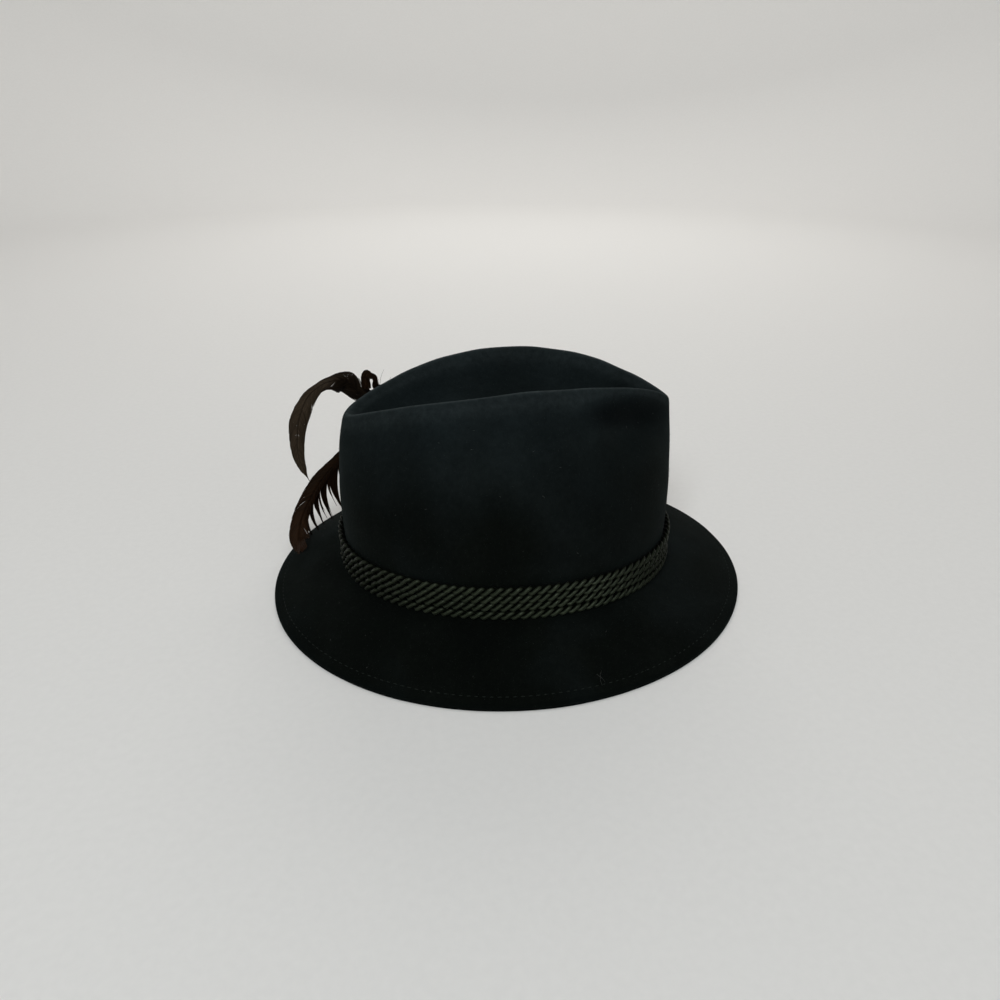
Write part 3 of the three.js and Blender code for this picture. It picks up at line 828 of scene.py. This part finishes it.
def loose_hairs(stations):
    """Single barbs that stand up from the spine and bend by a square law."""
    start, length, lean, bend = np.array(LOOSE_HAIRS).T[:, :, None, None]
    place, _, _, off = spine_frame(stations, start[..., 0])
    t = np.linspace(0, 1, 9)[None, :, None]
    path = place + length * (t * [0, 0, 1] + (lean * t + bend * t ** 2) * [1, 0, 0])
    widths = 0.3 * MM * (1 - 0.5 * t[..., 0]) + 0 * start[..., 0]
    return blades(path, off, widths, 0.5 + 0 * widths, thickness=0.7)


def wisps(stations, first, count, longest):
    """Loose hair-thin barbs that spring from a spine's end in all directions and bend by a square
    law."""
    root = DRAW.uniform(first, 0.995, (count, 1))
    place, along, _, off = spine_frame(stations, root)
    t = np.linspace(0, 1, 8)[None, :, None]
    size = longest * DRAW.uniform(0.4, 1, (count, 1, 1))
    heading = unit(0.5 * along + DRAW.normal(size=(count, 1, 3)) * 0.55)
    curl = unit(DRAW.normal(size=(count, 1, 3)))
    path = place + size * (heading * t + 0.35 * curl * t ** 2)
    widths = 0.2 * MM * (1 - 0.6 * t[..., 0]) + 0 * root
    tones = 0.5 + 0.2 * DRAW.normal(size=(count, 1)) + 0 * t[..., 0]
    return blades(path, off, widths, tones, thickness=0.6)


def quill_binding():
    """The wrapped quills: a round tapered body, with a thread wound round it. The thread is the absolute
    value of a sine of the height less the turn, added to the body's radius."""
    profile_height = [0, 0.01, 0.06, 0.3, 0.75, 0.97, 1]
    profile_radius = [0.5, 0.62, 0.85, 1, 1, 0.8, 0.6]
    samples = 260
    sides = 26
    share = np.linspace(0, 1, samples)[:, None]
    radius = BINDING_DIAMETER / 2 * np.interp(share, profile_height, profile_radius)
    direction = unit(BINDING_HEAD - BINDING_FOOT)
    across = unit(np.cross([0, 1, 0], direction))
    turn = np.arange(sides)[None, :] / sides
    wound = np.abs(np.sin(np.pi * (share * BINDING_LENGTH / THREAD_PITCH - turn)))
    path = mix(BINDING_FOOT, BINDING_HEAD, share)
    size = 2 * (radius + THREAD_RELIEF * (wound - 1))[None]
    frames = (np.broadcast_to(v, (1, samples, 3)) for v in (across, np.cross(direction, across)))
    points, faces = tubes(path[None], *frames, size, size, sides)
    thread = thread_material("binding thread", (0.012, 0.013, 0.010))
    return add_piece("quill_binding", points, faces, thread, replaces=["plume"])


SICKLE_SHADES = ((0, -0.45), (0.36, -0.4), (0.47, 0.1), (0.8, 0.3), (1, 0.4))
DROOPING_SHADES = ((0, -0.35), (0.6, -0.2), (0.8, 0.05), (1, 0.2))
PEAK_SHADES = ((0, -0.4), (1, -0.2))
LEFT_SHADES = ((0, -0.25), (1, 0.2))


def plume():
    dark = feather_material("sickle barbs", (0.0055, 0.0033, 0.0020), (0.042, 0.030, 0.0195))
    brown = feather_material("drooping barbs", (0.0040, 0.0018, 0.0008), (0.025, 0.0100, 0.0040))
    green = feather_material("left barbs", (0.005, 0.006, 0.0045), (0.026, 0.023, 0.016))
    quill_binding()
    feather("sickle_feather", SICKLE, 270, dark, sweep=1.6, splits=[(0.72, 0.006)], shades=SICKLE_SHADES)
    feather("drooping_feather", DROOPING, 230, brown, sweep=1.6, shades=DROOPING_SHADES,
            extra=hanging_locks(DROOPING))
    feather("peak_feather", PEAK, 190, brown, sweep=2.0, thick=0.8 * MM, loose=0.08, wide=0.8 * MM,
            cup=0.05, shades=PEAK_SHADES, extra=[wisps(PEAK, 0.72, 14, 3 * MM), loose_hairs(PEAK)])
    for name, stations, each_side, splits in (
            ("left_low_feather", LEFT_LOW, 150, [(0.6, 0.03)]),
            ("left_middle_feather", LEFT_MIDDLE, 160, [(0.45, 0.03), (0.75, 0.02)]),
            ("left_high_feather", LEFT_HIGH, 150, [(0.55, 0.03)])):
        feather(name, stations, each_side, green, splits=splits, shades=LEFT_SHADES)


# Stitches and lint on the brim

def brim_line(angle, inset):
    """Places on the brim's top side at a distance inside the rim, and the directions round the hat and
    off the felt there."""
    step = 0.004

    def place(a):
        length = np.linalg.norm(rim_point(a, 0) - foot_point(a, 0), axis=-1)
        return brim_point(a, inset / length, 0)

    middle = place(angle)
    round_hat = unit(place(angle + step) - place(angle - step))
    inward = foot_point(angle, 0) - rim_point(angle, 0)
    off = unit(np.cross(round_hat, inward))
    return middle + off * soft_waves(middle)[..., None], round_hat, off


def edge_stitching():
    """A row of stitches sunk in a shallow groove: each a short bar that rises out of the felt by a half
    sine and dips back into it, at even steps of length round the brim."""
    angle = np.linspace(0, 2 * np.pi, 2001)
    angle_at, length = along_line(brim_line(angle, STITCH_INSET)[0], angle)
    count = round(length / STITCH_SPACING)
    start = np.arange(count)[:, None] * length / count
    share = np.linspace(0, 1, 6)[None, :]
    size = STITCH_LENGTH * DRAW.uniform(0.9, 1.1, (count, 1))
    middle, round_hat, off = brim_line(angle_at(start + size * share), STITCH_INSET)
    across = np.cross(off, round_hat)
    slant = 0.12 * MM * (share - 0.5) * DRAW.uniform(0.4, 1.6, (count, 1))
    rise = STITCH_RISE * np.sin(np.pi * share) - GROOVE_DEPTH - 0.05 * MM
    path = middle + off * rise[..., None] + across * slant[..., None]
    width = (STITCH_THICKNESS * (0.55 + 0.45 * np.sin(np.pi * share)) + 0 * start)[..., None]
    points, faces = tubes(path, across, off, width, width, 6)
    thread = thread_material("edge thread", (0.013, 0.017, 0.014))
    return add_piece("edge_stitching", points, faces, thread)


# Two longer threads that lie crossed on the near side of the brim: the angle round the hat in degrees,
# the shares of the brim between which they climb, their lean to the side and their length
CROSSED_AT = -77.9
CROSSED_SHARES = (0.115, 0.245)
CROSSED_LEANS = (0.45, -0.5)
CROSSED_LENGTHS = (8 * MM, 6.5 * MM)


def lint():
    """Pale fibres that cling to the felt: short bent threads at places drawn over the brim and the wall,
    and two crossed ones on the near side of the brim. A thread bends by a square law."""
    angle = DRAW.uniform(0, 2 * np.pi, LINT_COUNT)
    share = DRAW.uniform(0.12, 0.92, LINT_COUNT)
    on_brim = DRAW.random(LINT_COUNT) < 0.4

    def on_felt(turn, step):
        """The places, moved round the hat and up the felt by small steps."""
        brim = brim_point(angle + turn, share * 0.85 + step, 0)
        wall = wall_point(angle + turn, 0.22 + 0.72 * share + step, 0)
        return np.where(on_brim[:, None], brim, wall)

    place = on_felt(0, 0)
    off = unit(np.cross(on_felt(0.01, 0) - place, on_felt(0, 0.02) - place))
    place = place + off * (soft_waves(place)[:, None] + 0.12 * MM)
    heading = unit(np.cross(off, DRAW.normal(size=(LINT_COUNT, 3))))
    size = DRAW.uniform(0.4, 1.5, LINT_COUNT) * MM
    crossed_angle = np.full(2, math.radians(CROSSED_AT))
    ends = brim_point(crossed_angle, np.array(CROSSED_SHARES), 0)
    climb = unit(ends[1] - ends[0])
    round_rim = rim_point(crossed_angle[0] + 0.01, 0) - rim_point(crossed_angle[0], 0)
    up = unit(np.cross(round_rim, climb))
    leans = np.array(CROSSED_LEANS)[:, None]
    place = np.concatenate([place, np.repeat([ends.mean(axis=0) + 0.25 * MM * up], 2, axis=0)])
    off = np.concatenate([off, [up, up]])[:, None]
    heading = np.concatenate([heading, unit(climb + leans * np.cross(climb, up))])[:, None]
    size = np.concatenate([size, CROSSED_LENGTHS])[:, None, None]
    t = np.linspace(-0.5, 0.5, 6)[None, :, None]
    bend = DRAW.uniform(-0.5, 0.5, (LINT_COUNT + 2, 1, 1)) * size
    path = place[:, None] + heading * size * t + np.cross(off, heading) * bend * (t ** 2 - 0.1)
    width = (LINT_THICKNESS * (1 - 1.4 * t ** 2) * np.ones_like(size))[..., 0]
    points, faces, _ = blades(path, off, width, 0 * width, thickness=1)
    return add_piece("lint", points, faces, thread_material("lint", (0.09, 0.092, 0.084)))


# Materials

class Finish:
    """A material in the making: its shader, with ways to add nodes and join them."""

    def __init__(self, name, roughness, specular, sheen=0.0, sheen_roughness=0.5, sheen_tint=(1, 1, 1)):
        self.material = bpy.data.materials.new(name)
        self.material.use_nodes = True
        tree = self.material.node_tree
        self.nodes = tree.nodes
        self.link = tree.links.new
        self.shader = tree.nodes["Principled BSDF"]
        self.give("Roughness", roughness)
        self.give("Specular IOR Level", specular)
        self.give("Sheen Weight", sheen)
        self.give("Sheen Roughness", sheen_roughness)
        self.give("Sheen Tint", sheen_tint)

    def join(self, value, socket):
        """An output is linked to the socket, and a number, a vector or a colour is set on it."""
        if isinstance(value, bpy.types.NodeSocket):
            self.link(value, socket)
        else:
            socket.default_value = (*value, 1) if socket.type == "RGBA" else value

    def give(self, name, value):
        self.join(value, self.shader.inputs[name])

    def place(self):
        return self.nodes.new("ShaderNodeTexCoord").outputs["Object"]

    def tone(self):
        """The piece's own numbers from its points."""
        node = self.nodes.new("ShaderNodeAttribute")
        node.attribute_name = "tone"
        return node.outputs["Fac"]

    def add(self, kind, inputs):
        """A new node with its named inputs joined."""
        node = self.nodes.new(kind)
        for name, value in inputs.items():
            self.join(value, node.inputs[name])
        return node

    def noise(self, coordinates, scale, detail=3, roughness=0.55, stretch=(1, 1, 1)):
        """A noise over the given coordinates, stretched by a Mapping node."""
        mapping = self.add("ShaderNodeMapping", {"Vector": coordinates, "Scale": stretch})
        texture = self.add("ShaderNodeTexNoise", {"Vector": mapping.outputs["Vector"], "Scale": scale,
                                                  "Detail": detail, "Roughness": roughness})
        return texture.outputs["Fac"]

    def math(self, operation, a, b=0.0):
        """A Math node on two outputs or numbers."""
        node = self.nodes.new("ShaderNodeMath")
        node.operation = operation
        self.join(a, node.inputs[0])
        self.join(b, node.inputs[1])
        return node.outputs["Value"]

    def weighed(self, first, *others):
        """The sum of outputs, each given as (output, weight)."""
        total = self.math("MULTIPLY", *first)
        for pair in others:
            total = self.math("ADD", total, self.math("MULTIPLY", *pair))
        return total

    def spread(self, coordinates, axis, low, high, middle=0.0):
        """A share that goes evenly from 0 to 1 between two distances from the middle along an axis."""
        split = self.add("ShaderNodeSeparateXYZ", {"Vector": coordinates})
        away = self.math("SUBTRACT", split.outputs[axis], middle)
        limits = {"Value": self.math("ABSOLUTE", away), "From Min": low, "From Max": high}
        return self.add("ShaderNodeMapRange", limits).outputs["Result"]

    def ramp(self, value, *stops):
        """A colour ramp over a value, with its stops as (place, colour)."""
        node = self.nodes.new("ShaderNodeValToRGB")
        elements = node.color_ramp.elements
        while len(elements) < len(stops):
            elements.new(0.5)
        for element, (place, colour) in zip(elements, stops):
            element.position = place
            element.color = (*colour, 1)
        self.link(value, node.inputs["Fac"])
        return node.outputs["Color"]

    def blend(self, share, a, b, way="MIX"):
        """Two colours mixed by a share, or joined in another way. Each may be an output or a colour."""
        node = self.nodes.new("ShaderNodeMix")
        node.data_type = "RGBA"
        node.blend_type = way
        self.join(share, node.inputs["Factor"])
        self.join(a, node.inputs["A"])
        self.join(b, node.inputs["B"])
        return node.outputs["Result"]

    def bump(self, height, strength, distance):
        relief = {"Height": height, "Strength": strength, "Distance": distance}
        self.give("Normal", self.add("ShaderNodeBump", relief).outputs["Normal"])


def felt_material():
    """Dark green black wool felt: clouds of colour from the dye, fine matted fibres in colour and
    relief, and a greyer look along the ridges from rubbing, partly a painted highlight. Painted shade
    darkens the tuck by the pinch, and the brim and the crown's foot are painted a darker, deeper green
    as shade. The crown is painted lighter, greyer and bluer towards its top, in patches, as painted
    light."""
    felt = Finish("felt", 0.95, 0.03, 0.02, 0.5, (0.60, 0.78, 0.76))
    place = felt.place()
    clouds = felt.noise(place, 19, 5, 0.6)
    matting = felt.noise(place, 320, 5, 0.62)
    fibres = felt.noise(place, 1900, 3, 0.7)
    strands = felt.noise(place, 900, 4, 0.7, (1, 1, 0.35))
    fine = felt.math("ADD", fibres, strands)
    mixed = felt.weighed((clouds, 0.5), (matting, 0.2), (fine, 0.15))
    # Painted light and shade: crown is the lit colour high on the crown, brim a colour painted darker as
    # shade for the brim and the crown's foot
    crown = felt.ramp(mixed, (0.34, (0.0038, 0.0062, 0.0068)), (0.5, (0.0079, 0.0120, 0.0130)),
                      (0.68, (0.0140, 0.0198, 0.0214)))
    brim = felt.ramp(mixed, (0.34, (0.0012, 0.0018, 0.0014)), (0.5, (0.0023, 0.0032, 0.0025)),
                     (0.68, (0.0048, 0.0064, 0.0052)))
    # Painted light: blended by height and patches, the felt grows lighter and bluer up the crown
    patches = felt.math("SUBTRACT", felt.noise(place, 15, 2), 0.5)
    height = felt.spread(place, "Z", 64 * MM, 142 * MM)
    painted_height_light_and_patches = felt.math("ADD", height, felt.math("MULTIPLY", patches, 1.1))
    edge_dark_and_painted_shade = felt.math("MULTIPLY", felt.tone(), -1.0)
    # Wear and a painted highlight along the ridges lighten the felt towards a greyer green
    wear_and_painted_highlight = felt.math("MULTIPLY", felt.tone(), matting)
    colour = felt.blend(painted_height_light_and_patches, brim, crown)
    # Painted shade: the tuck under the ridge is darkened towards this near black
    colour = felt.blend(edge_dark_and_painted_shade, colour, (0.0008, 0.0016, 0.0019))
    felt.give("Base Color", felt.blend(wear_and_painted_highlight, colour, (0.048, 0.059, 0.060)))
    felt.bump(felt.math("ADD", fine, matting), 0.55, 0.25 * MM)
    return felt.material


def nap_material():
    """Single wool fibres, from near black to a greyer green."""
    nap = Finish("nap", 0.9, 0.04, 0.02, 0.5, (0.6, 0.75, 0.72))
    nap.give("Base Color", nap.ramp(nap.tone(), (0.0, (0.005, 0.0075, 0.007)),
                                    (0.75, (0.014, 0.019, 0.018)), (1.0, (0.05, 0.06, 0.055))))
    return nap.material


def cord_material():
    """Twisted silky cord: fine filaments that follow the strand, darker between them, painted shade
    where one strand goes under the other and on the core, slow changes of tone, and painted shade that
    makes it duller towards the hat's front and rear."""
    shine = 0.3
    cord = Finish("cord", 0.38, shine, 0.01, 0.4, (0.7, 0.8, 0.72))
    cord.give("Specular Tint", (0.88, 1.0, 0.74))
    strand = cord.nodes.new("ShaderNodeUVMap")
    strand.uv_map = "UVMap"
    filaments = cord.noise(strand.outputs["UV"], 9, 4, 0.65, (1.6, 0.22, 1))
    place = cord.place()
    mixed = cord.weighed((filaments, 0.7), (cord.noise(place, 45, 3), 0.3))
    colour = cord.ramp(mixed, (0.28, (0.0035, 0.005, 0.003)), (0.5, (0.0125, 0.0165, 0.0095)),
                       (0.72, (0.036, 0.045, 0.027)))
    # Painted shade: darker where one strand goes under the other and on the core
    painted_gap_shade = cord.ramp(cord.tone(), (0.0, (0.1, 0.1, 0.1)), (0.6, (1, 1, 1)))
    # Painted shade: the cord is darkened towards the hat's front and rear
    painted_end_shade_share = cord.spread(place, "X", 25 * MM, 98 * MM, -15 * MM)
    ends = cord.ramp(painted_end_shade_share, (0.0, (1, 1, 1)), (1.0, (0.4, 0.4, 0.4)))
    shade = cord.blend(1.0, painted_gap_shade, ends, "MULTIPLY")
    # The painted shade darkens both the colour and the specular level
    cord.give("Base Color", cord.blend(1.0, colour, shade, "MULTIPLY"))
    cord.give("Specular IOR Level", cord.math("MULTIPLY", shade, shine))
    cord.bump(filaments, 0.5, 0.15 * MM)
    return cord.material


def feather_material(name, dark, light):
    """Barbs whose own tone goes from a dark to a light colour, with fine flecks along them."""
    barb = Finish(name, 0.5, 0.12)
    barb.give("Specular Tint", (1.0, 0.8, 0.58))
    flecks = barb.noise(barb.place(), 700, 3, 0.6)
    value = barb.math("ADD", barb.tone(), barb.math("MULTIPLY", flecks, 0.4))
    barb.give("Base Color", barb.ramp(barb.math("SUBTRACT", value, 0.2), (0.0, dark), (1.0, light)))
    return barb.material


def thread_material(name, colour):
    """Spun thread: one colour with darker flecks and a fine relief."""
    thread = Finish(name, 0.65, 0.08, 0.01, 0.4)
    flecks = thread.noise(thread.place(), 1400, 3, 0.65)
    deep = tuple(0.45 * c for c in colour)
    thread.give("Base Color", thread.ramp(flecks, (0.3, deep), (0.65, colour)))
    thread.bump(flecks, 0.4, 0.1 * MM)
    return thread.material


# The studio

FLOOR_REACH = 1.5
BACKDROP_REACH = 2.6
BACKDROP_HEIGHT = 1.3
FLOOR_SIDES = 96
FLOOR_COLOUR = (0.84, 0.825, 0.80)


def studio_floor():
    """A pale floor that is level round the hat and curves up all round it, by a square law, far away."""
    reach = np.concatenate([[0.02, 0.6], np.linspace(FLOOR_REACH, BACKDROP_REACH, 24)])[:, None]
    turn = 2 * np.pi * np.arange(FLOOR_SIDES)[None, :] / FLOOR_SIDES
    rise = BACKDROP_HEIGHT * (np.maximum(reach - FLOOR_REACH, 0) / (BACKDROP_REACH - FLOOR_REACH)) ** 2
    points = stack(reach * np.cos(turn), reach * np.sin(turn), rise - 0.1 * MM).reshape(-1, 3)
    faces, _ = grid_faces(len(reach), FLOOR_SIDES)
    pale = Finish("pale floor", 0.85, 0.2)
    deep = tuple(0.975 * c for c in FLOOR_COLOUR)
    specks = pale.noise(pale.place(), 240, 3)
    pale.give("Base Color", pale.ramp(specks, (0.3, deep), (0.7, FLOOR_COLOUR)))
    mesh = bpy.data.meshes.new("studio_floor")
    middle = [tuple(range(FLOOR_SIDES))]
    mesh.from_pydata(points.tolist(), [], faces.tolist() + middle)
    mesh.shade_smooth()
    mesh.materials.append(pale.material)
    floor = bpy.data.objects.new("studio_floor", mesh)
    bpy.context.scene.collection.objects.link(floor)


# Softboxes: name, place, what it looks at, size, power in watts and colour
SOFTBOXES = [
    ("window_side", (-0.5, -1.35, 1.45), (0, 0, 0.06), (0.8, 0.6), 19, (0.92, 0.97, 1.0)),
    ("front_side", (1.1, -1.1, 0.9), (0, 0, 0.06), (0.7, 0.6), 0.8, (1.0, 0.98, 0.94)),
    ("overhead", (0.1, 0.2, 1.8), (0, 0, 0), (1.4, 1.2), 6, (1.0, 0.99, 0.97)),
    ("rear", (0.3, 1.4, 1.0), (0, 0, 0.08), (1.2, 0.6), 5, (1.0, 0.98, 0.95)),
    ("backdrop_light", (0.2, 0.9, 1.9), (0.5, 2.6, 0.5), (2.4, 0.5), 15, (1.0, 0.99, 0.97)),
]
WORLD_COLOUR = (0.86, 0.87, 0.88)
WORLD_STRENGTH = 0.12


def lights():
    for name, place, target, size, power, colour in SOFTBOXES:
        light = bpy.data.lights.new(name, "AREA")
        light.shape = "RECTANGLE"
        light.size, light.size_y = size
        light.energy = power
        light.color = colour
        lamp = bpy.data.objects.new(name, light)
        lamp.location = place
        lamp.rotation_euler = (Vector(target) - Vector(place)).to_track_quat("-Z", "Y").to_euler()
        bpy.context.scene.collection.objects.link(lamp)
    world = bpy.data.worlds.new("studio")
    world.use_nodes = True
    sky = world.node_tree.nodes["Background"]
    sky.inputs["Color"].default_value = (*WORLD_COLOUR, 1)
    sky.inputs["Strength"].default_value = WORLD_STRENGTH
    bpy.context.scene.world = world


# The camera stands at the hat's right front, about 34 degrees above its middle
CAMERA_PLACE = (-71.72 * MM, -413.47 * MM, 281.46 * MM)
CAMERA_LOOK = (0.139147, 0.864185, -0.483552)
FOCAL_PIXELS = 780
FRAME_PIXELS = 1000
SENSOR = 36


def camera():
    data = bpy.data.cameras.new("camera")
    data.sensor_fit = "HORIZONTAL"
    data.sensor_width = SENSOR
    data.lens = FOCAL_PIXELS / FRAME_PIXELS * SENSOR
    data.clip_start = 0.01
    data.clip_end = 20
    viewer = bpy.data.objects.new("camera", data)
    viewer.location = CAMERA_PLACE
    viewer.rotation_euler = Vector(CAMERA_LOOK).to_track_quat("-Z", "Y").to_euler()
    bpy.context.scene.collection.objects.link(viewer)
    bpy.context.scene.camera = viewer


bpy.context.scene.view_settings.view_transform = "Standard"
camera()
lights()
studio_floor()
felt_hood()
for cord_row in range(CORD_COUNT):
    twisted_cord(cord_row)
plume()
edge_stitching()
lint()
felt_nap()
